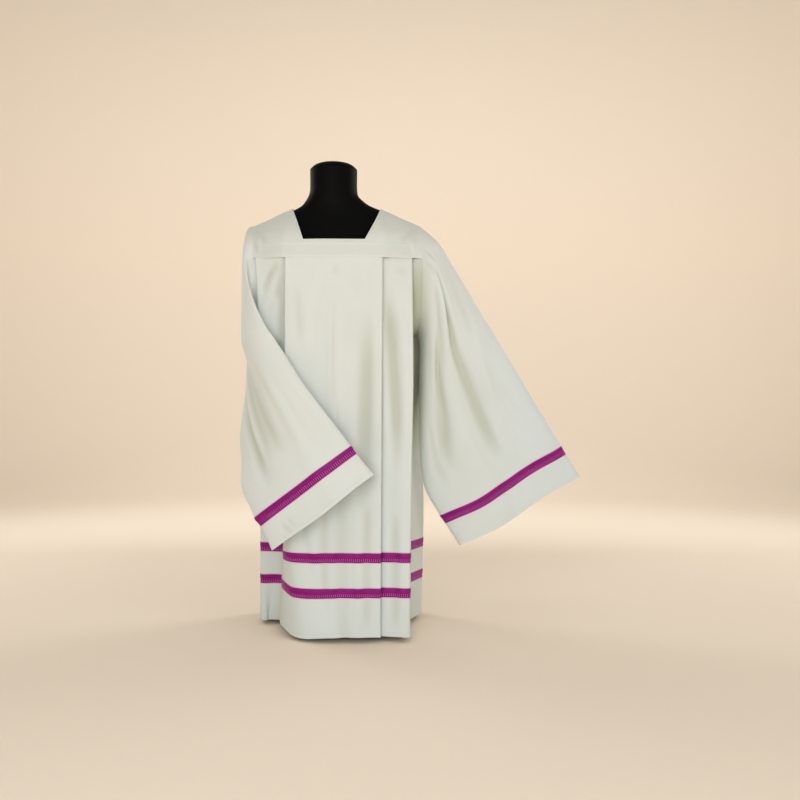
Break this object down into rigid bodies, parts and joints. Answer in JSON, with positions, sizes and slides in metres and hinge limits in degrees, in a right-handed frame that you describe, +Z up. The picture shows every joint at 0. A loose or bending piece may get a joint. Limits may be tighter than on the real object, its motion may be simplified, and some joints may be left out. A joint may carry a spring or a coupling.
{
  "type": "surplice on a limbless dress form",
  "caption": "White church overgarment with a square neck, pleated body and wide sleeves, one folded across the front, on a black dress form.",
  "frame": {"origin": "centre of the underside of the stand's base", "axes": "+Z up along the stand, +X towards the wearer's left, the front of the garment towards -Y"},
  "size_m": [0.8005, 0.3607, 1.1121],
  "materials": {
    "ivory_cloth": "matt plain weave",
    "magenta_band": "satin with an openwork edge",
    "form_black": "smooth stretched cover",
    "stand_black": "satin black",
    "pole_steel": "brushed"
  },
  "bodies": {
    "root": {"back_panel": "ivory_cloth", "band_lower_back": "magenta_band", "band_lower_front": "magenta_band", "band_upper_back": "magenta_band", "band_upper_front": "magenta_band", "cuff_left": "ivory_cloth", "cuff_right": "ivory_cloth", "form_neck_cap": "form_black", "form_torso": "form_black", "front_panel": "ivory_cloth", "hem_border_back": "ivory_cloth", "hem_border_front": "ivory_cloth", "hem_middle_back": "ivory_cloth", "hem_middle_front": "ivory_cloth", "sleeve_band_left": "magenta_band", "sleeve_band_right": "magenta_band", "sleeve_left": "ivory_cloth", "sleeve_right": "ivory_cloth", "stand_base": "stand_black", "stand_pole": "pole_steel", "yoke_back": "ivory_cloth", "yoke_front": "ivory_cloth", "yoke_strip_back": "ivory_cloth", "yoke_strip_front": "ivory_cloth"}
  },
  "joints": []
}
